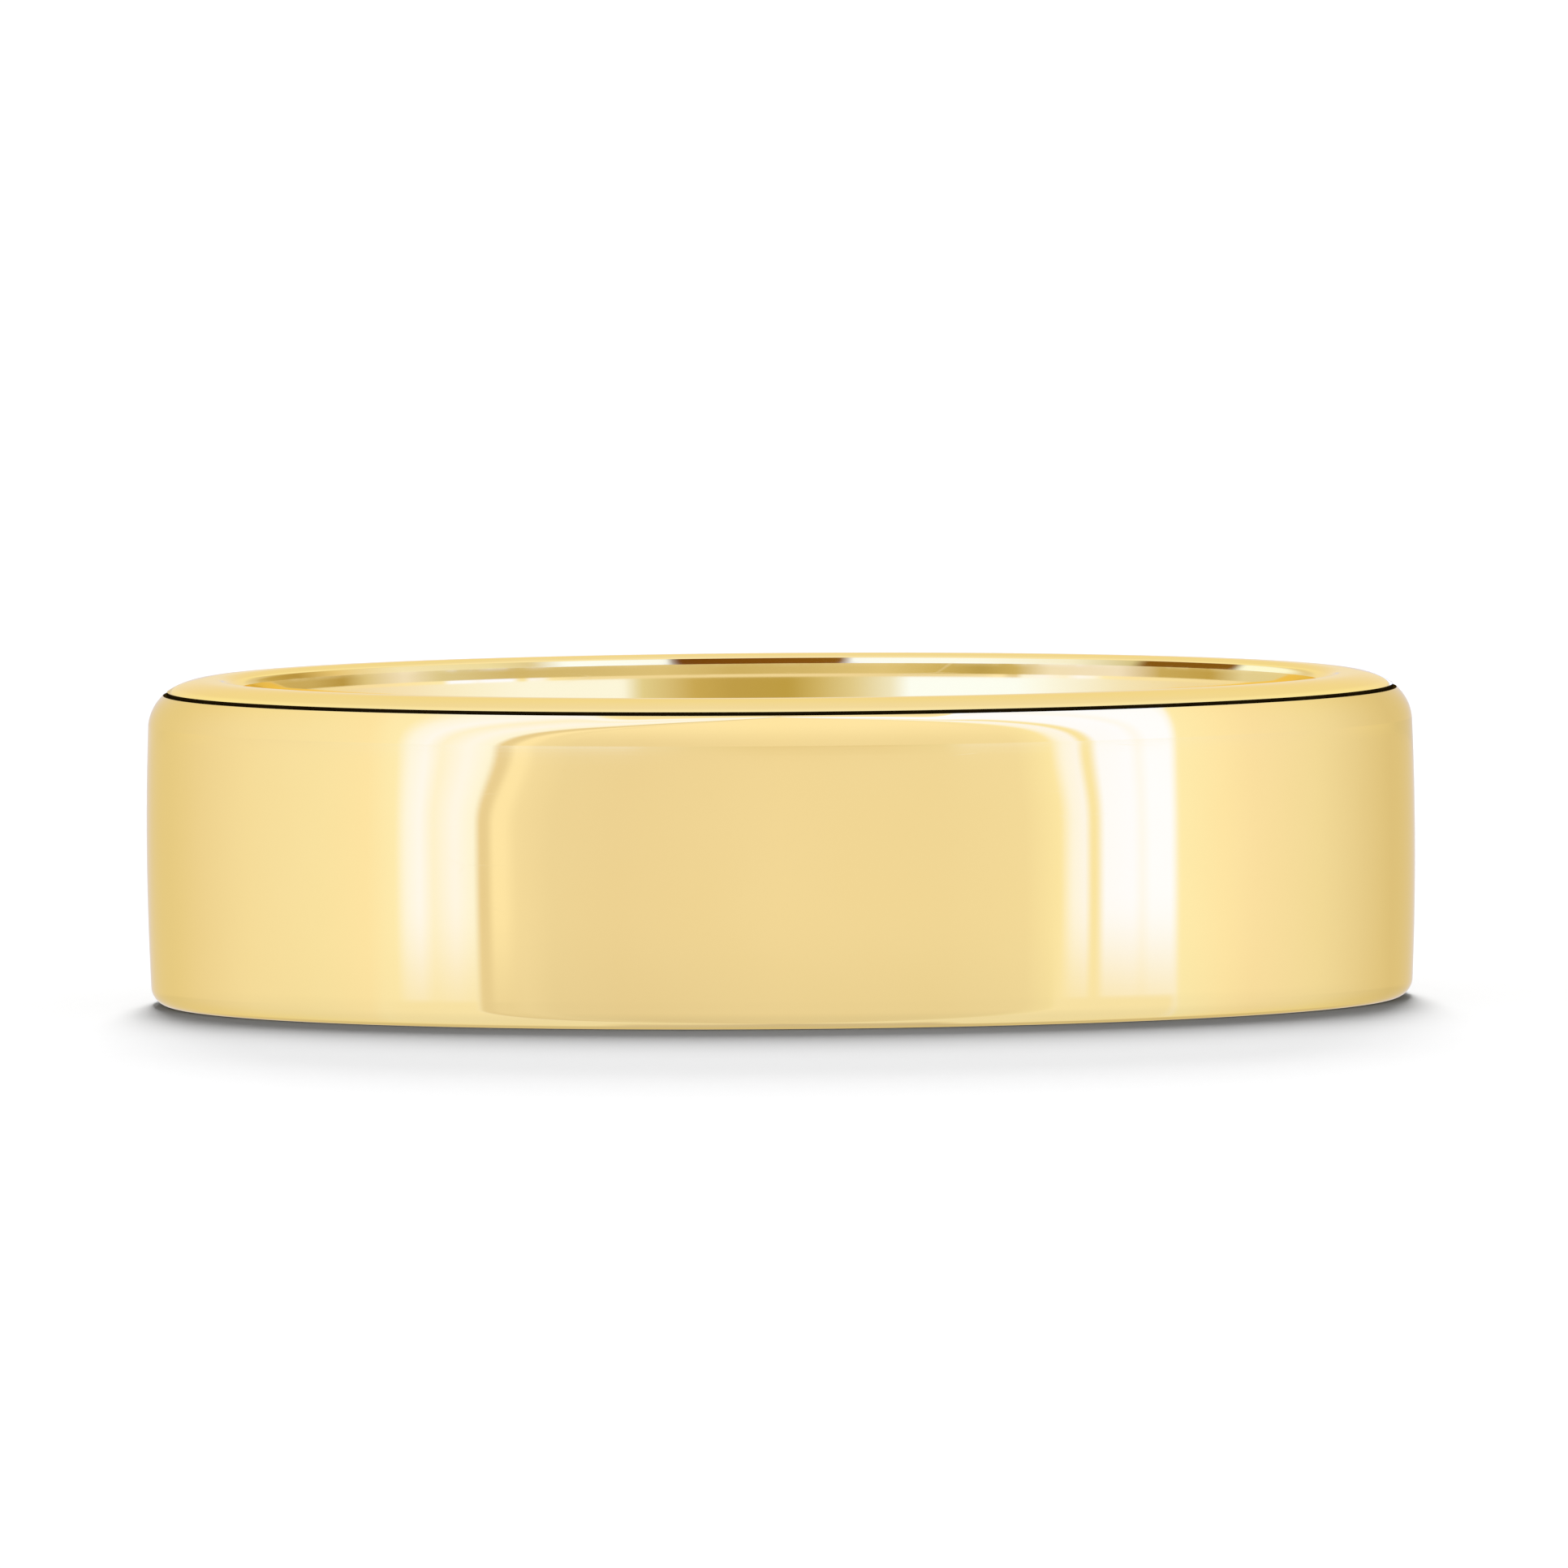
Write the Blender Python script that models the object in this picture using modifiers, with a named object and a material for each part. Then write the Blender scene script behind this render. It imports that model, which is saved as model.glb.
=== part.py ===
"""A plain polished gold wedding band, lying flat on its plain rim with its lined rim up.

The band is one turned piece of metal. Its section is drawn as an upper and a lower half
from mid-width, and turned about +Z. The origin is the centre of the rim it lies on.
Run with: blender --background --python part.py
"""

from math import asin, cos, pi, radians, sin, tan

import bpy

MM = 0.001

# Driving dimensions
BORE_DIAMETER = 19.8 * MM  # narrowest, at mid-width: a US size 10 finger
WALL = 1.8 * MM  # thickness at mid-width
BAND_WIDTH = 6.0 * MM  # along the finger

# The outer face: a slight crown between two round shoulders.
# A slope is how far a face's outward direction has tipped up or down from level.
CROWN_RISE = 0.08 * MM  # how far mid-width stands above a straight line between the rims
UPPER_SHOULDER_RADIUS = 0.85 * MM
UPPER_SHOULDER_SLOPES = (radians(5.9), radians(48))
LOWER_SHOULDER_RADIUS = 0.35 * MM
LOWER_SHOULDER_SLOPES = (radians(3), radians(90))

# The fine turned line that parts the upper shoulder from the rim
LINE_WIDTH = 0.10 * MM
LINE_DEPTH = 0.05 * MM

# The upper rim: a low bevel that eases into a flat ring
BEVEL_HEIGHT = 0.22 * MM
BEVEL_STEEPEST = radians(33)

# The bore's edge, from the flat of the rim inwards: a round, a bright-cut facet and a lead-in
BORE_ROUND_RADIUS = 0.45 * MM
FACET_SLOPE = radians(54)
FACET_HEIGHT = 0.09 * MM
LEAD_SLOPE = radians(5.2)
LEAD_HEIGHT = 0.22 * MM
FIT_RADIUS = 42.0 * MM  # of the comfort-fit arc between the two lead-ins

# How finely the solid is cut
TURN_STEPS = 84
CROWN_CUTS = 5
SHOULDER_CUTS = 5
BEVEL_CUTS = 4
BORE_ROUND_CUTS = 3
FIT_CUTS = 4

OUTER_RADIUS = BORE_DIAMETER / 2 + WALL
HALF_WIDTH = BAND_WIDTH / 2
FULL_TURN = 2 * pi
STRAIGHT_UP = pi / 2
GOLD_COLOUR = (0.86, 0.60, 0.23, 1.0)
GOLD_ROUGHNESS = 0.08
MERGE_DISTANCE = 0.000001


def arc(centre, radius, start, end, cuts):
    """Points along an arc of the section; angles are measured up from the outward radius."""
    points = []
    for cut in range(cuts + 1):
        angle = start + (end - start) * cut / cuts
        points.append((centre[0] + radius * cos(angle), centre[1] + radius * sin(angle)))
    return points


def outer_half(shoulder_radius, slopes, top):
    """From mid-width over the crown and round a shoulder that stops at the height top."""
    crown = (HALF_WIDTH ** 2 + CROWN_RISE ** 2) / (2 * CROWN_RISE)
    crown_centre = (OUTER_RADIUS - crown, 0.0)
    shoulder_foot = top - shoulder_radius * (sin(slopes[1]) - sin(slopes[0]))
    points = arc(crown_centre, crown, 0.0, asin(shoulder_foot / crown), CROWN_CUTS)
    foot_reach, foot_height = points[-1]
    shoulder_centre = (
        foot_reach - shoulder_radius * cos(slopes[0]),
        foot_height - shoulder_radius * sin(slopes[0]),
    )
    points += arc(shoulder_centre, shoulder_radius, slopes[0], slopes[1], SHOULDER_CUTS)[1:]
    return points


def turned_line(start, slope):
    """The fine V cut at the end of a shoulder with this slope: its floor, then its far lip."""
    along = (-sin(slope), cos(slope))
    inward = (-cos(slope), -sin(slope))
    half = LINE_WIDTH / 2
    floor = (
        start[0] + along[0] * half + inward[0] * LINE_DEPTH,
        start[1] + along[1] * half + inward[1] * LINE_DEPTH,
    )
    lip = (start[0] + along[0] * LINE_WIDTH, start[1] + along[1] * LINE_WIDTH)
    return [floor, lip]


def bevel(start):
    """From the line's far lip up the easing bevel to the edge of the flat."""
    radius = (HALF_WIDTH - start[1]) / (1 - cos(BEVEL_STEEPEST))
    centre = (start[0] - radius * sin(BEVEL_STEEPEST), HALF_WIDTH - radius)
    return arc(centre, radius, STRAIGHT_UP - BEVEL_STEEPEST, STRAIGHT_UP, BEVEL_CUTS)[1:]


def bore_half():
    """From the inner edge of the flat through the bore's edge to mid-width."""
    round_height = BORE_ROUND_RADIUS * (1 - sin(FACET_SLOPE))
    fit_height = HALF_WIDTH - round_height - FACET_HEIGHT - LEAD_HEIGHT
    fit_sweep = asin(fit_height / FIT_RADIUS)
    fit_centre = (BORE_DIAMETER / 2 + FIT_RADIUS, 0.0)
    fit = arc(fit_centre, FIT_RADIUS, pi - fit_sweep, pi, FIT_CUTS)
    lead_top = (fit[0][0] + LEAD_HEIGHT * tan(LEAD_SLOPE), fit_height + LEAD_HEIGHT)
    facet_reach = lead_top[0] + FACET_HEIGHT * tan(FACET_SLOPE)
    centre = (
        facet_reach + BORE_ROUND_RADIUS * cos(FACET_SLOPE),
        HALF_WIDTH - BORE_ROUND_RADIUS,
    )
    points = arc(centre, BORE_ROUND_RADIUS, STRAIGHT_UP, pi - FACET_SLOPE, BORE_ROUND_CUTS)
    return points + [lead_top] + fit


def section():
    """The whole section: up through the bore, down the outside and back under to the bore."""
    shoulder_top = HALF_WIDTH - BEVEL_HEIGHT - LINE_WIDTH * cos(UPPER_SHOULDER_SLOPES[1])
    upper = outer_half(UPPER_SHOULDER_RADIUS, UPPER_SHOULDER_SLOPES, shoulder_top)
    upper += turned_line(upper[-1], UPPER_SHOULDER_SLOPES[1])
    upper += bevel(upper[-1])
    upper += bore_half()
    lower = outer_half(LOWER_SHOULDER_RADIUS, LOWER_SHOULDER_SLOPES, HALF_WIDTH)
    lower += bore_half()
    upside_down = [(reach, -height) for reach, height in lower[1:-1]]
    return upper[::-1] + upside_down


def turned(name, outline, collection):
    """A closed section turned once about +Z."""
    mesh = bpy.data.meshes.new(name)
    corners = [(reach, 0.0, HALF_WIDTH + height) for reach, height in outline]
    count = len(corners)
    edges = [(i, (i + 1) % count) for i in range(count)]
    mesh.from_pydata(corners, edges, [])
    piece = bpy.data.objects.new(name, mesh)
    collection.objects.link(piece)
    screw = piece.modifiers.new("turn", 'SCREW')
    screw.axis = 'Z'
    screw.angle = FULL_TURN
    screw.steps = TURN_STEPS
    screw.render_steps = TURN_STEPS
    screw.use_merge_vertices = True
    screw.merge_threshold = MERGE_DISTANCE
    screw.use_smooth_shade = True
    return piece


def polished_gold():
    """Yellow gold with a high polish."""
    material = bpy.data.materials.new("polished_gold")
    material.use_nodes = True
    shader = material.node_tree.nodes["Principled BSDF"]
    shader.inputs["Base Color"].default_value = GOLD_COLOUR
    shader.inputs["Metallic"].default_value = 1.0
    shader.inputs["Roughness"].default_value = GOLD_ROUGHNESS
    return material


for leftover in list(bpy.data.objects):
    bpy.data.objects.remove(leftover, do_unlink=True)

wedding_band = bpy.data.collections.new("wedding_band")
bpy.context.scene.collection.children.link(wedding_band)
band = turned("band", section(), wedding_band)
band.data.materials.append(polished_gold())
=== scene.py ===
from functools import partial
from math import asin, cos, pi, radians, sin, tan

import bmesh
import bpy
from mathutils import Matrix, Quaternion, Vector


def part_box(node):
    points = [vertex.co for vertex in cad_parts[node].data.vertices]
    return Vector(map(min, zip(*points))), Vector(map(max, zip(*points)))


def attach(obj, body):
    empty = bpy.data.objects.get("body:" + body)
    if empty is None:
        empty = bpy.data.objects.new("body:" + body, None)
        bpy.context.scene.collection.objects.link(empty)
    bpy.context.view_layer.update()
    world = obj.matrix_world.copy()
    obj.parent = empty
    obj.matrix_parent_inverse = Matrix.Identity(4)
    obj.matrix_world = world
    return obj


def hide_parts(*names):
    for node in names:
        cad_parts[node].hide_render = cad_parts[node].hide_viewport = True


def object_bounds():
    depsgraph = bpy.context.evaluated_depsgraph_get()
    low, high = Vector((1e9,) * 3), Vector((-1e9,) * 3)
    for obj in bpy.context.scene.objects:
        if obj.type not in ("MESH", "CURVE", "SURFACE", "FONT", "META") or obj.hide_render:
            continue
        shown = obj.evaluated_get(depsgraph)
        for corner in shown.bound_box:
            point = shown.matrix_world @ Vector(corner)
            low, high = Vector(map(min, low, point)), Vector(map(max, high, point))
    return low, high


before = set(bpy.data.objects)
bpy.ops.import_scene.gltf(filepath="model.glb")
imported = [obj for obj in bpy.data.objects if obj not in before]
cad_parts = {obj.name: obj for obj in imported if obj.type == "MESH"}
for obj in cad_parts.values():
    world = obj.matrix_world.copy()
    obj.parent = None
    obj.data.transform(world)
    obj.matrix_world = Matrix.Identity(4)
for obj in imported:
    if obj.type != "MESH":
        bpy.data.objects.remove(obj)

MM = 0.001
MICRON = 0.001 * MM
cad_low, cad_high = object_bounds()


# ---------------------------------------------------------------------------
# The band: one ring of yellow gold, turned on a lathe and polished to a mirror.
# Outside it has a slight crown and rounded edges. A fine line is turned beside the upper
# rim, and the bore is domed, with a bright-cut facet at each end, so that it slides on easily.

band_low, band_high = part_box("band")
half_width = (band_high.z - band_low.z) / 2
mid_height = (band_high.z + band_low.z) / 2
crown_reach = (band_high.x - band_low.x) / 2
wall = 1.8 * MM
bore_reach = crown_reach - wall

# Slopes are how far a face's outward direction has tipped up or down from level.
crown_rise = 0.08 * MM
shoulder_radius = 0.85 * MM
shoulder_start = radians(5.9)
shoulder_end = radians(48)
line_width = 0.10 * MM
line_depth = 0.05 * MM
bevel_height = 0.22 * MM
bevel_steepest = radians(33)
lower_radius = 0.35 * MM
lower_start = radians(3)
bore_round_radius = 0.45 * MM
facet_slope = radians(54)
facet_height = 0.09 * MM
lead_slope = radians(5.2)
lead_height = 0.22 * MM
fit_radius = 42.0 * MM

# How finely each stretch of the section and the turn are cut
turn_steps = 512
crown_steps = 14
shoulder_steps = 24
bevel_steps = 9
lower_steps = 16
flat_steps = 3
bore_round_steps = 16
facet_steps = 2
lead_steps = 3
fit_steps = 16
same_spot = 0.0001 * MM

# Centres of the long arcs, and how far the parts of the bore's edge reach from the axis
crown_radius = (half_width ** 2 + crown_rise ** 2) / (2 * crown_rise)
crown_centre = (crown_reach - crown_radius, 0)
fit_centre = (bore_reach + fit_radius, 0)
round_height = bore_round_radius * (1 - sin(facet_slope))
fit_height = half_width - round_height - facet_height - lead_height
fit_sweep = asin(fit_height / fit_radius)
lead_reach = fit_centre[0] - fit_radius * cos(fit_sweep)
facet_reach = lead_reach + lead_height * tan(lead_slope)
round_reach = facet_reach + facet_height * tan(facet_slope)
flat_end = round_reach + bore_round_radius * cos(facet_slope)


def swing(section, tip, centre, angle, steps):
    """Carries the drawn line's tip round a centre, up the section for a positive angle."""
    spun = bmesh.ops.spin(
        section, geom=[tip], cent=(centre[0], 0, centre[1]), axis=(0, -1, 0),
        dvec=(0, 0, 0), angle=angle, steps=steps, use_duplicate=False,
    )
    return [part for part in spun["geom_last"] if isinstance(part, bmesh.types.BMVert)][0]


def draw(section, tip, way, steps=1):
    """Carries the drawn line's tip straight along a way."""
    for step in range(steps):
        drawn = bmesh.ops.extrude_vert_indiv(section, verts=[tip])
        drawn["verts"][0].co = tip.co + way / steps
        tip = drawn["verts"][0]
    return tip


def outside(section, tip, side, radius, slopes, end, steps):
    """Draws half of the crown and the rounded edge beyond it, up or down to the end height."""
    foot_height = end - radius * (sin(slopes[1]) - sin(slopes[0]))
    tip = swing(section, tip, crown_centre, side * asin(foot_height / crown_radius), crown_steps)
    centre = (tip.co.x - radius * cos(slopes[0]), tip.co.z - side * radius * sin(slopes[0]))
    return swing(section, tip, centre, side * (slopes[1] - slopes[0]), steps)


def inside(section, tip, side):
    """Draws the flat of the rim, the bore's edge and half of the bore."""
    tip = draw(section, tip, Vector((flat_end - tip.co.x, 0, 0)), flat_steps)
    centre = (flat_end, side * (half_width - bore_round_radius))
    tip = swing(section, tip, centre, side * (pi / 2 - facet_slope), bore_round_steps)
    facet = Vector((-facet_height * tan(facet_slope), 0, -side * facet_height))
    tip = draw(section, tip, facet, facet_steps)
    lead = Vector((-lead_height * tan(lead_slope), 0, -side * lead_height))
    tip = draw(section, tip, lead, lead_steps)
    return swing(section, tip, fit_centre, side * fit_sweep, fit_steps)


# Upper half of the section: crown, shoulder, line, bevel, flat and bore
section = bmesh.new()
start = section.verts.new((crown_reach, 0, 0))
shoulder_top = half_width - bevel_height - line_width * cos(shoulder_end)
shoulder_slopes = (shoulder_start, shoulder_end)
tip = outside(section, start, 1, shoulder_radius, shoulder_slopes, shoulder_top, shoulder_steps)
line_lip = tip.co.copy()
line_along = Vector((-sin(shoulder_end), 0, cos(shoulder_end)))
line_inward = Vector((-cos(shoulder_end), 0, -sin(shoulder_end)))
tip = draw(section, tip, line_along * line_width / 2 + line_inward * line_depth)
tip = draw(section, tip, line_along * line_width / 2 - line_inward * line_depth)
bevel_radius = (half_width - tip.co.z) / (1 - cos(bevel_steepest))
bevel_centre = (tip.co.x - bevel_radius * sin(bevel_steepest), half_width - bevel_radius)
tip = swing(section, tip, bevel_centre, bevel_steepest, bevel_steps)
inside(section, tip, 1)

# Lower half: crown, a small round, flat and bore
tip = outside(section, start, -1, lower_radius, (lower_start, pi / 2), half_width, lower_steps)
inside(section, tip, -1)
bmesh.ops.remove_doubles(section, verts=section.verts[:], dist=same_spot)

# One full turn makes the ring.
bmesh.ops.spin(
    section, geom=section.verts[:] + section.edges[:], cent=(0, 0, 0), axis=(0, 0, 1),
    dvec=(0, 0, 0), angle=2 * pi, steps=turn_steps, use_merge=True,
)
bmesh.ops.remove_doubles(section, verts=section.verts[:], dist=same_spot)
bmesh.ops.recalc_face_normals(section, faces=section.faces[:])

# Edges stay crisp at the line and the facets and, faintly, where the crown meets the shoulder.
crisp_fold = radians(25)
foot_height = shoulder_top - shoulder_radius * (sin(shoulder_end) - sin(shoulder_start))
wear = section.verts.layers.float.new("wear")


def at_foot(edge):
    """Whether an edge runs round the foot of the shoulder."""
    middle = (edge.verts[0].co + edge.verts[1].co) / 2
    return abs(middle.z - foot_height) < 10 * same_spot and middle.xy.length > bore_reach + wall / 2


def in_line(face):
    """Whether a face is a wall of the turned line."""
    middle = face.calc_center_median()
    from_lip = Vector((middle.xy.length, 0, middle.z)) - line_lip
    sunk = from_lip.dot(line_inward)
    return 0 < from_lip.dot(line_along) < line_width and 0.1 * line_depth < sunk < line_depth


for edge in section.edges:
    crisp = edge.calc_face_angle() > crisp_fold
    edge.smooth = not crisp and not at_foot(edge)
    for vert in edge.verts:
        vert[wear] = max(vert[wear], int(crisp))
for face in section.faces:
    face.smooth = True
    face.material_index = int(in_line(face))
bmesh.ops.translate(section, verts=section.verts[:], vec=(0, 0, mid_height))
band_mesh = bpy.data.meshes.new("gold_band")
section.to_mesh(band_mesh)
section.free()
gold_band = bpy.data.objects.new("gold_band", band_mesh)
bpy.context.scene.collection.objects.link(gold_band)


def connect(socket, value):
    """Feeds a socket with another socket, or sets it to a number or a colour."""
    if isinstance(value, bpy.types.NodeSocket):
        socket.id_data.links.new(value, socket)
    else:
        socket.default_value = value


def calc(tree, operation, *values):
    """A Math node."""
    node = tree.nodes.new("ShaderNodeMath")
    node.operation = operation
    for socket, value in zip(node.inputs, values):
        connect(socket, value)
    return node.outputs[0]


def ease(tree, value, start, end, low=0.0, high=1.0):
    """Goes smoothly from low to high while a value goes from start to end."""
    node = tree.nodes.new("ShaderNodeMapRange")
    node.interpolation_type = 'SMOOTHSTEP'
    for name, setting in zip(("Value", "From Min", "From Max", "To Min", "To Max"),
                             (value, start, end, low, high)):
        connect(node.inputs[name], setting)
    return node.outputs[0]


def blend(tree, amount, first, second):
    """Mixes two colours."""
    node = tree.nodes.new("ShaderNodeMix")
    node.data_type = 'RGBA'
    for name, setting in zip(("Factor_Float", "A_Color", "B_Color"), (amount, first, second)):
        connect(next(socket for socket in node.inputs if socket.identifier == name), setting)
    return next(socket for socket in node.outputs if socket.identifier == "Result_Color")


def clouds(tree, place, grain, detail=2):
    """Soft random patches, from 0 to 1, with the size of one patch as the grain."""
    node = tree.nodes.new("ShaderNodeTexNoise")
    connect(node.inputs["Vector"], place)
    node.inputs["Scale"].default_value = 1 / grain
    node.inputs["Detail"].default_value = detail
    return node.outputs["Fac"]


def raised(tree, height, step):
    """A bumped normal; the step is the real height that a height of 1 stands for."""
    node = tree.nodes.new("ShaderNodeBump")
    connect(node.inputs["Height"], height)
    node.inputs["Distance"].default_value = step
    return node.outputs["Normal"]


# Turning lines: the fine rings that a tool or a buffing wheel leaves round a turned piece
turning = bpy.data.node_groups.new("turning_lines", 'ShaderNodeTree')
turning.interface.new_socket(name="Place", in_out='INPUT', socket_type='NodeSocketVector')
turning.interface.new_socket(name="Length", in_out='INPUT', socket_type='NodeSocketFloat')
turning.interface.new_socket(name="Spacing", in_out='INPUT', socket_type='NodeSocketFloat')
turning.interface.new_socket(name="Lines", in_out='OUTPUT', socket_type='NodeSocketFloat')
turning_in = turning.nodes.new("NodeGroupInput")
turning_out = turning.nodes.new("NodeGroupOutput")
place_split = turning.nodes.new("ShaderNodeSeparateXYZ")
connect(place_split.inputs[0], turning_in.outputs["Place"])
squares = [calc(turning, 'MULTIPLY', along, along) for along in place_split.outputs[:2]]
reach = calc(turning, 'SQRT', calc(turning, 'ADD', *squares))
stretched = turning.nodes.new("ShaderNodeCombineXYZ")
stretch_units = ("Length", "Length", "Spacing")
for socket, along, unit in zip(stretched.inputs, place_split.outputs, stretch_units):
    connect(socket, calc(turning, 'DIVIDE', along, turning_in.outputs[unit]))
line_noise = turning.nodes.new("ShaderNodeTexNoise")
line_noise.noise_dimensions = '4D'
connect(line_noise.inputs["Vector"], stretched.outputs[0])
connect(line_noise.inputs["W"], calc(turning, 'DIVIDE', reach, turning_in.outputs["Spacing"]))
line_noise.inputs["Scale"].default_value = 1
line_noise.inputs["Detail"].default_value = 2
connect(turning_out.inputs["Lines"], line_noise.outputs["Fac"])


def turning_lines(tree, place, length, spacing):
    """Places the turning lines in a material."""
    node = tree.nodes.new("ShaderNodeGroup")
    node.node_tree = turning
    connect(node.inputs["Place"], place)
    node.inputs["Length"].default_value = length
    node.inputs["Spacing"].default_value = spacing
    return node.outputs["Lines"]


# Polished gold: buffing lines, a few hairline scratches, and edges that wear pale and soft
gold_deep = (0.945, 0.757, 0.325, 1)
gold_light = (0.955, 0.773, 0.345, 1)
gold_worn = (0.97, 0.83, 0.47, 1)
gold_edge_on = (1.0, 0.9, 0.52, 1)
worn_share = 0.3
gold = bpy.data.materials.new("polished_yellow_gold")
gold.use_nodes = True
gold_tree = gold.node_tree
gold_shader = gold_tree.nodes["Principled BSDF"]
gold_shader.inputs["Metallic"].default_value = 1
gold_shader.inputs["Specular Tint"].default_value = gold_edge_on
gold_place = gold_tree.nodes.new("ShaderNodeTexCoord").outputs["Object"]
buffing = turning_lines(gold_tree, gold_place, length=6 * MM, spacing=0.05 * MM)
tone = clouds(gold_tree, gold_place, grain=1.8 * MM)
ripple = clouds(gold_tree, gold_place, grain=2.6 * MM, detail=0)

# Hairlines are long cells seen edge on, kept only where a patchy mask lets them through.
hairline_place = gold_tree.nodes.new("ShaderNodeMapping")
hairline_place.inputs["Rotation"].default_value = (0.35, 0.2, 0.6)
hairline_place.inputs["Scale"].default_value = (1 / (5 * MM), 1 / (7 * MM), 1 / (0.7 * MM))
connect(hairline_place.inputs["Vector"], gold_place)
hairline_cells = gold_tree.nodes.new("ShaderNodeTexVoronoi")
hairline_cells.feature = 'DISTANCE_TO_EDGE'
hairline_cells.inputs["Scale"].default_value = 1
connect(hairline_cells.inputs["Vector"], hairline_place.outputs["Vector"])
hairline_patches = ease(gold_tree, clouds(gold_tree, gold_place, grain=1.1 * MM), 0.56, 0.66)
hairline = calc(gold_tree, 'MULTIPLY', hairline_patches,
                ease(gold_tree, hairline_cells.outputs["Distance"], 0.012, 0.003))

edge_wear = gold_tree.nodes.new("ShaderNodeAttribute")
edge_wear.attribute_name = "wear"
worn = calc(gold_tree, 'MULTIPLY', edge_wear.outputs["Fac"],
            ease(gold_tree, clouds(gold_tree, gold_place, grain=0.5 * MM), 0.35, 0.6, 0.4, 1.0))
gold_colour = blend(gold_tree, tone, gold_deep, gold_light)
paled = calc(gold_tree, 'MULTIPLY', worn, worn_share)
gold_colour = blend(gold_tree, paled, gold_colour, gold_worn)
connect(gold_shader.inputs["Base Color"], gold_colour)

# How rough the polish is, and how much rougher the lines, the worn edges and the hairlines are
polish_roughness = 0.030
buffing_roughness = 0.016
worn_roughness = 0.05
hairline_roughness = 0.05
roughness = calc(gold_tree, 'MULTIPLY_ADD', buffing, buffing_roughness, polish_roughness)
roughness = calc(gold_tree, 'MULTIPLY_ADD', worn, worn_roughness, roughness)
roughness = calc(gold_tree, 'MULTIPLY_ADD', hairline, hairline_roughness, roughness)
connect(gold_shader.inputs["Roughness"], roughness)

# Heights in microns: the buffer leaves shallow waves, finer lines and, by accident, hairlines.
ripple_height = 0.7
buffing_height = 0.02
hairline_depth = 0.01
relief = calc(gold_tree, 'MULTIPLY', ripple, ripple_height)
relief = calc(gold_tree, 'MULTIPLY_ADD', buffing, buffing_height, relief)
relief = calc(gold_tree, 'MULTIPLY_ADD', hairline, -hairline_depth, relief)
connect(gold_shader.inputs["Normal"], raised(gold_tree, relief, step=MICRON))
band_mesh.materials.append(gold)

# The turned line is cut a little rougher and painted near black, as painted shade for its dark
# line; it mirrors nothing.
line_shade_black = (0.014, 0.008, 0.001, 1)
line_shade_brown = (0.040, 0.022, 0.004, 1)
line_shade = bpy.data.materials.new("line_painted_shade")
line_shade.use_nodes = True
line_shade_tree = line_shade.node_tree
line_shade_shader = line_shade_tree.nodes["Principled BSDF"]
line_shade_shader.inputs["Specular IOR Level"].default_value = 0
line_shade_place = line_shade_tree.nodes.new("ShaderNodeTexCoord").outputs["Object"]
chatter = turning_lines(line_shade_tree, line_shade_place, length=0.8 * MM, spacing=0.02 * MM)
line_shade_patches = clouds(line_shade_tree, line_shade_place, grain=0.3 * MM, detail=4)
# Painted shade: near black, with brownish patches placed at random by the noise
line_shade_colour = blend(line_shade_tree, line_shade_patches, line_shade_black, line_shade_brown)
connect(line_shade_shader.inputs["Base Color"], line_shade_colour)
connect(line_shade_shader.inputs["Roughness"], calc(line_shade_tree, 'MULTIPLY_ADD', chatter, 0.3, 0.5))
connect(line_shade_shader.inputs["Normal"], raised(line_shade_tree, chatter, step=2 * MICRON))
band_mesh.materials.append(line_shade)

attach(gold_band, "root")
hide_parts("band")


# ---------------------------------------------------------------------------
# The floor: a sheet of matt white card that runs out of sight on every side.
# The gold mirrors the light tent instead of the card, so the card's far edge isn't seen in it.

floor_size = 8.0
card_dim = (0.89, 0.89, 0.89, 1)
card_bright = (0.91, 0.91, 0.91, 1)
floor_mesh = bpy.data.meshes.new("floor")
floor_build = bmesh.new()
bmesh.ops.create_grid(floor_build, x_segments=1, y_segments=1, size=floor_size / 2)
floor_build.to_mesh(floor_mesh)
floor_build.free()
floor = bpy.data.objects.new("floor", floor_mesh)
bpy.context.scene.collection.objects.link(floor)
floor.location = (0, 0, cad_low.z)
floor.visible_glossy = False

card = bpy.data.materials.new("white_card")
card.use_nodes = True
card_tree = card.node_tree
card_shader = card_tree.nodes["Principled BSDF"]
card_shader.inputs["Specular IOR Level"].default_value = 0
card_place = card_tree.nodes.new("ShaderNodeTexCoord").outputs["Object"]
tooth = clouds(card_tree, card_place, grain=0.4 * MM, detail=3)
connect(card_shader.inputs["Base Color"], blend(card_tree, tooth, card_dim, card_bright))
connect(card_shader.inputs["Roughness"], calc(card_tree, 'MULTIPLY_ADD', tooth, 0.1, 0.9))
connect(card_shader.inputs["Normal"], raised(card_tree, tooth, step=4 * MICRON))
floor_mesh.materials.append(card)


# ---------------------------------------------------------------------------
# The light tent: what the polished gold mirrors. A large pale panel stands in front, with
# bright windows on both sides of it. Behind the ring the walls fall off to a dim grey.

tent = bpy.data.worlds.new("light_tent")
bpy.context.scene.world = tent
tent.use_nodes = True
tent_tree = tent.node_tree
tent_tree.nodes.clear()

# The band's node helpers, here for the tent's own tree
reckon = partial(calc, tent_tree)
fade = partial(ease, tent_tree)
tint = partial(blend, tent_tree)


def times(first, *others):
    """Multiplies masks and measures together."""
    for other in others:
        first = reckon('MULTIPLY', first, other)
    return first


def minus(first, second):
    """The difference of two measures."""
    return reckon('SUBTRACT', first, second)


def vector(operation, first, second=(0, 0, 0)):
    """A Vector Math node."""
    node = tent_tree.nodes.new("ShaderNodeVectorMath")
    node.operation = operation
    connect(node.inputs[0], first)
    connect(node.inputs[1], second)
    return node.outputs["Value" if operation == 'DOT_PRODUCT' else "Vector"]


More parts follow.
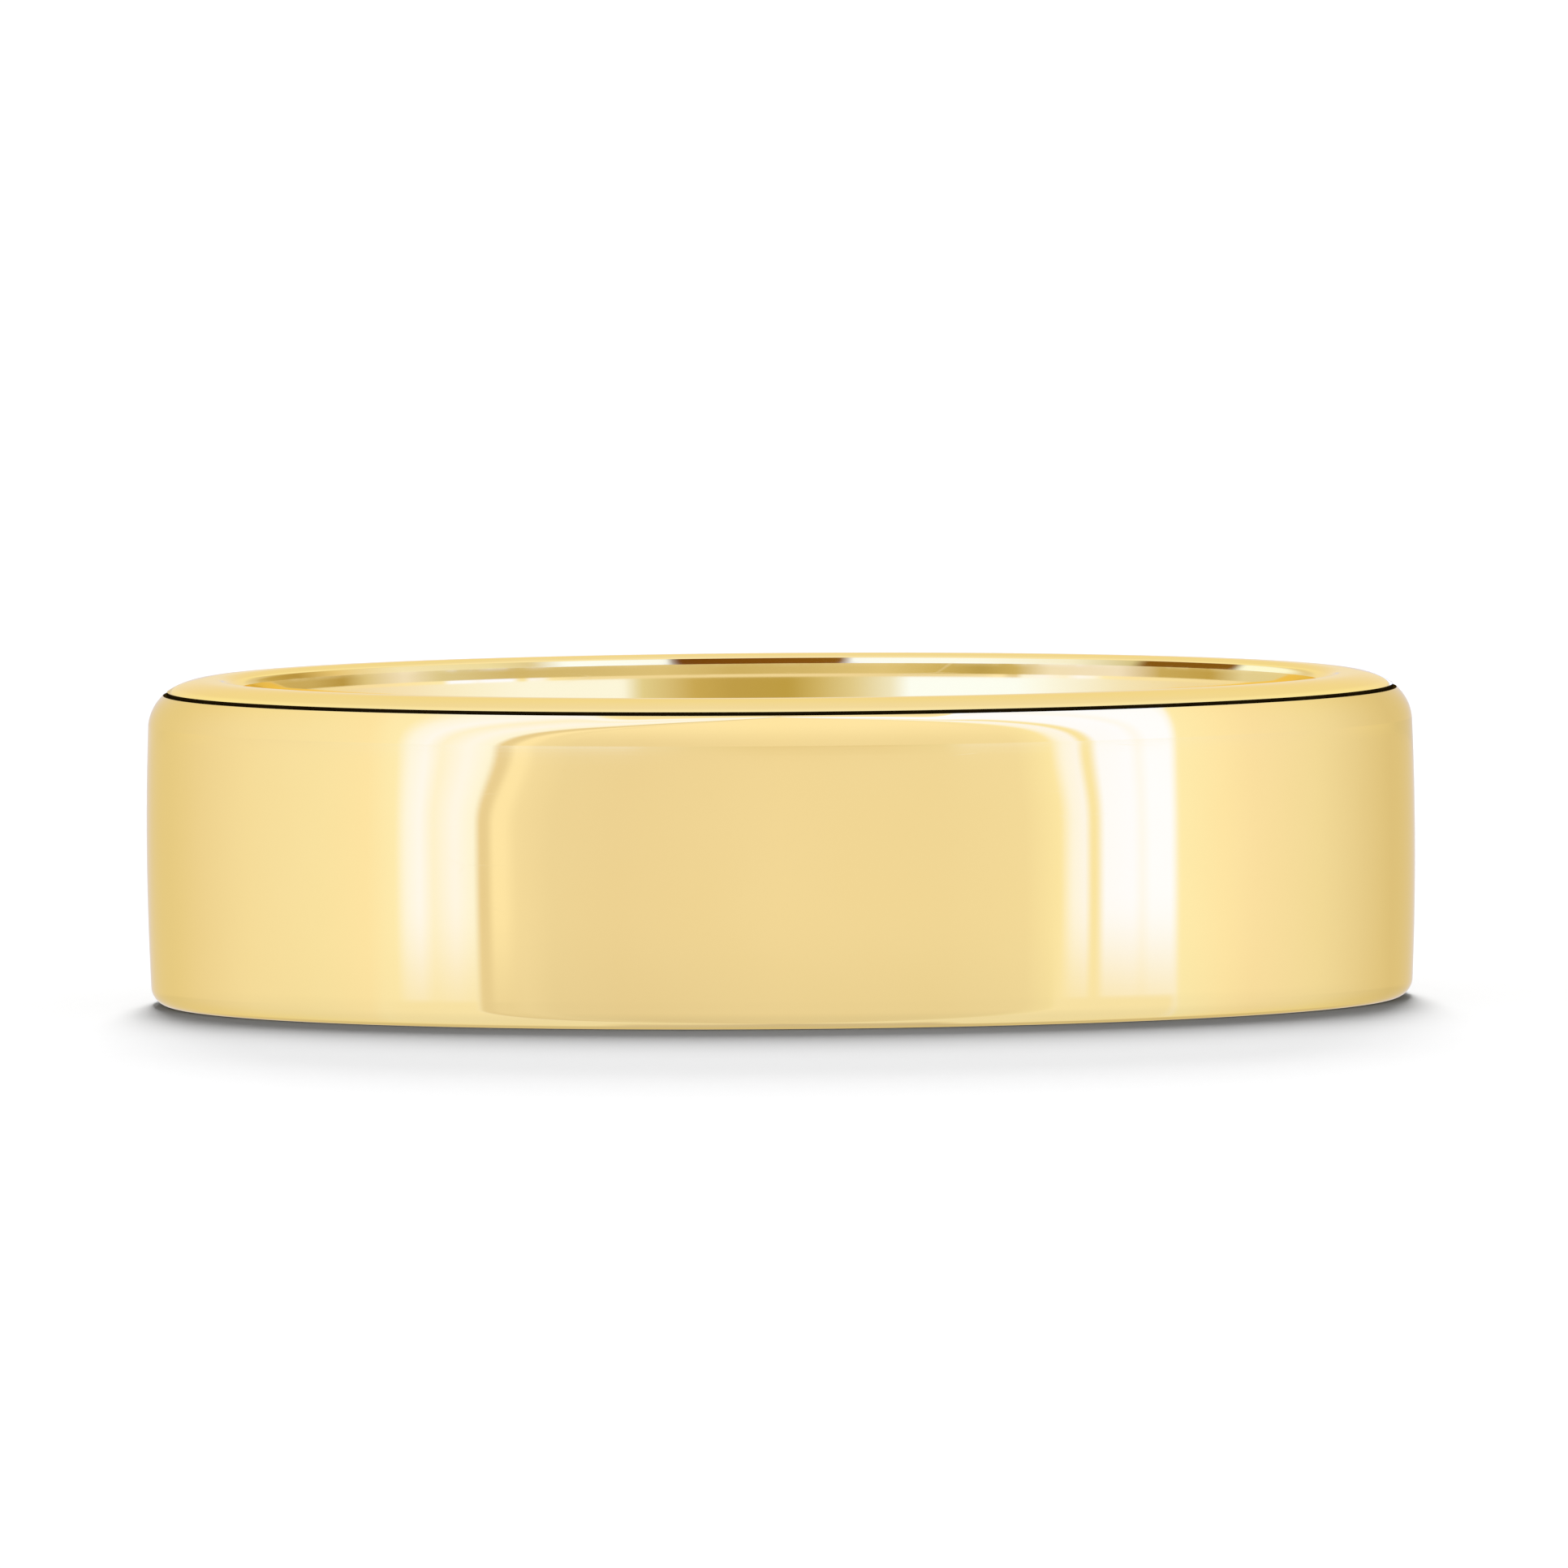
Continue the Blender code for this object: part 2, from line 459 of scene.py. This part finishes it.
def angles(direction):
    """How many degrees a direction is turned right of the front, and how many it rises."""
    split = tent_tree.nodes.new("ShaderNodeSeparateXYZ")
    connect(split.inputs[0], direction)
    east, north, up = split.outputs
    turned = reckon('DEGREES', reckon('ARCTAN2', east, times(north, -1)))
    return turned, reckon('DEGREES', reckon('ARCSINE', up))


def backdrop(angle, stops):
    """Colours at some angles between 0 and 180 degrees, blended from each to the next."""
    node = tent_tree.nodes.new("ShaderNodeValToRGB")
    connect(node.inputs[0], reckon('DIVIDE', angle, 180))
    elements = node.color_ramp.elements
    elements.remove(elements[1])
    for number, (stop_angle, colour) in enumerate(stops):
        stop = elements.new(stop_angle / 180) if number else elements[0]
        stop.position = stop_angle / 180
        stop.color = (*colour, 1)
    return node.outputs[0]


# Each direction in the tent has an azimuth and an elevation. It also has the turn and the
# slope of the metal that mirrors it to a viewer in front, who looks a little down on the ring.
looking = tent_tree.nodes.new("ShaderNodeTexCoord").outputs["Generated"]
azimuth, elevation = angles(looking)
sideways = reckon('ABSOLUTE', azimuth)
on_right = reckon('GREATER_THAN', azimuth, 0)
view_elevation = radians(2.48)
to_viewer = (0, -cos(view_elevation), sin(view_elevation))
facing = vector('NORMALIZE', vector('ADD', looking, to_viewer))
turn, slope = angles(facing)
head_on = vector('DOT_PRODUCT', facing, to_viewer)

# The panel's two edges draw in a little just above level, and then arch over to its top,
# sooner on the left than on the right.
panel_edge_low = 54
panel_dip_left = 4.5
panel_dip_right = 2.0
arch_foot = 9
arch_top = 88
arch_left = 1.6
arch_right = 7.0
climb = minus(reckon('MINIMUM', elevation, arch_top - 0.1), arch_foot)
lift = reckon('DIVIDE', reckon('MAXIMUM', climb, 0), arch_top - arch_foot)
arch_power = reckon('MULTIPLY_ADD', on_right, arch_right - arch_left, arch_left)
arch = reckon('SQRT', minus(1, reckon('POWER', lift, arch_power)))
panel_dip = reckon('MULTIPLY_ADD', on_right, panel_dip_right - panel_dip_left, panel_dip_left)
panel_dip = times(panel_dip, fade(elevation, start=50, end=12))
drawn_in = fade(elevation, start=-1.1, end=1.6, low=0, high=panel_dip)
panel_side = minus(panel_edge_low, drawn_in)
panel_edge = times(panel_side, arch)

# In the shoulder the windows' outer edges look upright, so in the tent they lean.
window_edge = 76
turned_aside = reckon('ABSOLUTE', turn)
not_steep = fade(reckon('ABSOLUTE', slope), start=60, end=50)
not_in_front = fade(turned_aside, start=13, end=20)
lean = times(minus(sideways, times(turned_aside, 2)), not_steep, not_in_front)
leaning_edge = reckon('ADD', window_edge, lean)

# Where a direction would lie if the edges of the panel and of the windows were all plumb
across_panel = times(reckon('DIVIDE', sideways, panel_edge), panel_edge_low)
window_share = reckon('DIVIDE', minus(sideways, panel_edge), minus(leaning_edge, panel_edge))
across_window = reckon('MULTIPLY_ADD', window_share, window_edge - panel_edge_low, panel_edge_low)
across = reckon('MAXIMUM', across_window, minus(sideways, lean))
across = reckon('MINIMUM', across_panel, across)

# From the middle of the panel: panel, its bright edge, a frame, the window, the wall
left_wall = backdrop(across, (
    (0, (0.935, 0.885, 0.90)),
    (30, (0.895, 0.84, 0.855)),
    (42, (0.90, 0.855, 0.88)),
    (49, (0.955, 0.915, 0.96)),
    (51.5, (1.05, 1.02, 1.09)),
    (53.5, (1.05, 1.02, 1.09)),
    (55, (0.85, 0.79, 0.79)),
    (56.3, (0.86, 0.79, 0.79)),
    (57.6, (1.055, 1.19, 1.9)),
    (61.5, (1.06, 1.21, 2.3)),
    (66, (1.05, 1.15, 1.75)),
    (69, (1.06, 1.23, 2.45)),
    (72, (1.055, 1.20, 2.1)),
    (74.5, (1.045, 1.08, 1.25)),
    (81, (1.04, 1.01, 1.07)),
    (93, (1.00, 0.985, 1.03)),
    (114, (0.965, 0.935, 0.985)),
    (133, (0.89, 0.845, 0.92)),
    (148, (0.83, 0.79, 0.88)),
    (180, (0.77, 0.73, 0.80)),
))

# From the middle of the panel: panel, a narrow window, a frame, the wide window, the wall
right_wall = backdrop(across, (
    (0, (0.935, 0.885, 0.90)),
    (30, (0.925, 0.88, 0.89)),
    (45, (0.945, 0.91, 0.93)),
    (52, (1.03, 1.03, 1.07)),
    (54.5, (1.05, 1.19, 2.1)),
    (57.0, (1.05, 1.21, 2.35)),
    (58.4, (1.01, 1.01, 1.03)),
    (59.4, (1.01, 1.01, 1.03)),
    (61, (1.055, 1.27, 2.75)),
    (67, (1.06, 1.28, 2.85)),
    (69, (1.06, 1.24, 2.5)),
    (71, (1.06, 1.29, 2.85)),
    (75.5, (1.06, 1.29, 2.85)),
    (77.5, (1.05, 1.08, 1.20)),
    (88, (1.045, 1.02, 1.09)),
    (96, (1.01, 0.965, 1.03)),
    (115, (0.94, 0.915, 0.96)),
    (134, (0.83, 0.79, 0.86)),
    (148, (0.76, 0.71, 0.78)),
    (180, (0.77, 0.73, 0.80)),
))
mirrored = tint(on_right, left_wall, right_wall)

# The panel is brighter towards its top.
panel_top_light = (1.06, 1.03, 1.09, 1)
in_panel = fade(across, start=52, end=44)
high_up = fade(elevation, start=8, end=70)
mirrored = tint(times(in_panel, high_up), mirrored, panel_top_light)

# Below the horizon the left frame and both windows give way to the table's glow, which darkens.
frame_glow = (0.90, 0.85, 0.86, 1)
frame_glow_share = 0.8
window_glow = (1.05, 1.05, 1.16, 1)
window_start_left = 56
window_start_right = 50
low_down = fade(elevation, start=-3.5, end=-8.5)
in_frame = times(fade(across, 47, 51), fade(across, 58, 56.5), minus(1, on_right))
mirrored = tint(times(in_frame, low_down, frame_glow_share), mirrored, frame_glow)
window_start = reckon('MULTIPLY_ADD', on_right, window_start_right - window_start_left,
                      window_start_left)
in_window = times(fade(minus(across, window_start), 0, 2), fade(across, 79, 75))
mirrored = tint(times(in_window, low_down), mirrored, window_glow)
table_edge_shade = fade(elevation, start=-4, end=-9, low=1, high=0.935)
table_shade = fade(elevation, start=-9, end=-60, low=1, high=0.92)
darken = tent_tree.nodes.new("ShaderNodeVectorMath")
darken.operation = 'SCALE'
connect(darken.inputs[0], mirrored)
connect(darken.inputs["Scale"], times(table_edge_shade, table_shade))
mirrored = darken.outputs["Vector"]


# ---------------------------------------------------------------------------
# The cards: small coloured boards hung in the tent for the rim and the bore alone. Each hangs
# where metal of its own slopes mirrors it, and the outer face has none of those slopes.

turn_from_left = reckon('ADD', turn, 90)


def slope_band(low, high, soft):
    """1 where the slope lies between two angles, fading to 0 just outside them."""
    return times(fade(slope, low - soft, low), fade(slope, high + soft, high))


# For the bore's dome: bright to both sides of a dark gold middle
dome_card = backdrop(turn_from_left, (
    (13, (0.80, 0.76, 0.84)),
    (24, (0.93, 0.88, 0.90)),
    (42, (0.93, 0.90, 1.0)),
    (51, (0.96, 1.02, 1.40)),
    (60, (1.03, 1.22, 2.2)),
    (64, (1.04, 1.30, 2.6)),
    (76, (1.04, 1.30, 2.6)),
    (78, (0.92, 1.02, 1.50)),
    (82, (0.80, 0.78, 0.75)),
    (86, (0.66, 0.58, 0.36)),
    (89, (0.54, 0.435, 0.165)),
    (95, (0.55, 0.44, 0.19)),
    (99, (0.61, 0.50, 0.245)),
    (102, (0.72, 0.66, 0.52)),
    (105, (0.80, 0.80, 0.75)),
    (107, (1.03, 1.20, 2.05)),
    (118, (1.035, 1.20, 2.05)),
    (126, (1.01, 1.12, 1.70)),
    (134, (0.97, 0.99, 1.35)),
    (142, (0.93, 0.90, 1.05)),
    (156, (0.93, 0.88, 0.90)),
    (167, (0.73, 0.69, 0.76)),
))
mirrored = tint(slope_band(low=2.3, high=4.2, soft=0.1), mirrored, dome_card)

# For the lead-in: mid gold, with brown and pale patches to the sides
lead_card = backdrop(turn_from_left, (
    (31, (0.80, 0.80, 0.85)),
    (37, (0.55, 0.43, 0.17)),
    (45, (0.60, 0.50, 0.28)),
    (51, (0.93, 0.96, 1.45)),
    (60, (0.93, 0.95, 1.30)),
    (64, (0.64, 0.55, 0.32)),
    (68, (0.52, 0.43, 0.20)),
    (73, (0.66, 0.57, 0.33)),
    (79, (0.78, 0.71, 0.56)),
    (87, (0.68, 0.60, 0.42)),
    (95, (0.65, 0.56, 0.36)),
    (103, (0.75, 0.68, 0.54)),
    (112, (0.69, 0.62, 0.47)),
    (120, (0.67, 0.59, 0.40)),
    (129, (0.75, 0.74, 0.72)),
    (134, (0.93, 0.96, 1.40)),
    (140, (0.75, 0.70, 0.60)),
    (144, (0.50, 0.38, 0.14)),
    (150, (0.60, 0.50, 0.30)),
))
mirrored = tint(slope_band(low=4.8, high=5.6, soft=0.1), mirrored, lead_card)

# For the bright-cut facet: white, broken by dark brown in the middle and on the left
facet_card = backdrop(turn_from_left, (
    (12, (0.74, 0.64, 0.43)),
    (22, (1.04, 1.28, 2.5)),
    (32, (1.04, 1.28, 2.4)),
    (34, (0.24, 0.12, 0.02)),
    (48, (0.24, 0.12, 0.02)),
    (50, (0.70, 0.72, 0.75)),
    (58, (0.98, 1.12, 1.8)),
    (70, (1.04, 1.27, 2.4)),
    (82.5, (1.04, 1.28, 2.6)),
    (83.3, (0.25, 0.12, 0.02)),
    (90, (0.23, 0.10, 0.015)),
    (101, (0.18, 0.07, 0.01)),
    (102, (1.04, 1.28, 2.5)),
    (113, (1.04, 1.30, 2.6)),
    (117, (0.78, 0.77, 0.82)),
    (122, (0.90, 0.93, 1.05)),
    (134, (0.96, 1.02, 1.40)),
    (144, (0.84, 0.74, 0.62)),
    (152, (0.50, 0.38, 0.18)),
    (163, (0.60, 0.50, 0.30)),
    (170, (1.04, 1.28, 2.4)),
))
mirrored = tint(slope_band(low=52.6, high=55.4, soft=0.5), mirrored, facet_card)

# For the bevel and the flat of the rim: warmer where the metal is seen almost edge on
bevel_foot_light = (1.02, 1.04, 1.16, 1)
rim_light = (0.935, 0.915, 1.04, 1)
edge_on_light = (0.91, 0.81, 0.62, 1)
rim_card = tint(fade(slope, start=58, end=63), bevel_foot_light, rim_light)
rim_card = tint(fade(head_on, start=0, end=0.3), edge_on_light, rim_card)
steep_enough = fade(slope, start=55.9, end=56.6)
in_sight = fade(head_on, start=0.030, end=0.040)
mirrored = tint(times(steep_enough, in_sight), mirrored, rim_card)


# ---------------------------------------------------------------------------
# The lights: a plain white fill from all round for the table, a tall strip of soft lights
# behind the ring with a low one under it, and a little light from each side.

# Only part of the fill goes on to the table off the gold.
fill_strength = 0.22
fill_off_gold = 0.3
studio = tent_tree.nodes.new("ShaderNodeBackground")
connect(studio.inputs["Color"], mirrored)
fill = tent_tree.nodes.new("ShaderNodeBackground")
connect(fill.inputs["Color"], (1, 1, 1, 1))
rays = tent_tree.nodes.new("ShaderNodeLightPath")
in_gold = rays.outputs["Is Glossy Ray"]
fill_share = reckon('MULTIPLY_ADD', in_gold, fill_off_gold - 1, 1)
connect(fill.inputs["Strength"], times(fill_share, fill_strength))
from_table = reckon('GREATER_THAN', rays.outputs["Diffuse Depth"], 0.5)
choose = tent_tree.nodes.new("ShaderNodeMixShader")
connect(choose.inputs[0], times(in_gold, minus(1, from_table)))
connect(choose.inputs[1], fill.outputs[0])
connect(choose.inputs[2], studio.outputs[0])
world_output = tent_tree.nodes.new("ShaderNodeOutputWorld")
connect(world_output.inputs["Surface"], choose.outputs[0])


def softbox(name, energy, spread, height, turned=0):
    """A light at a height, turned from straight behind the ring; the gold doesn't mirror it."""
    light = bpy.data.lights.new(name, 'SUN')
    light.energy = energy
    light.angle = radians(spread)
    light_object = bpy.data.objects.new(name, light)
    bpy.context.scene.collection.objects.link(light_object)
    light_object.rotation_euler = (radians(height - 90), 0, radians(turned))
    light_object.visible_glossy = False


for key_height in (34, 44, 54, 64):
    softbox(f"key_{key_height}", energy=0.70, spread=13, height=key_height)
softbox("low_back", energy=3.2, spread=14, height=14)
for side_turn in (-90, 90):
    softbox(f"side_{side_turn}", energy=0.2, spread=30, height=30, turned=side_turn)


# ---------------------------------------------------------------------------
# The camera: a very long lens, a little above the upper rim and rolled very slightly.
# The ring's share is of the picture's width, and so are the two shifts.

lens_mm = 1000
sensor_mm = 36
ring_share = 0.8088
shift_right = 0.0020
shift_up = 0.0342
view_roll = radians(-0.42)
lens = bpy.data.cameras.new("camera")
lens.lens = lens_mm
lens.sensor_width = sensor_mm
lens.clip_start = 0.1
lens.clip_end = 10
lens.shift_x = shift_right
lens.shift_y = shift_up
camera = bpy.data.objects.new("camera", lens)
bpy.context.scene.collection.objects.link(camera)
picture_width = (cad_high.x - cad_low.x) / ring_share
distance = picture_width * lens_mm / sensor_mm
away = Vector(to_viewer)
camera.location = (cad_low + cad_high) / 2 + away * distance
camera.rotation_mode = 'QUATERNION'
camera.rotation_quaternion = (-away).to_track_quat('-Z', 'Y') @ Quaternion((0, 0, 1), view_roll)
bpy.context.scene.camera = camera
bpy.context.scene.view_settings.view_transform = 'Standard'
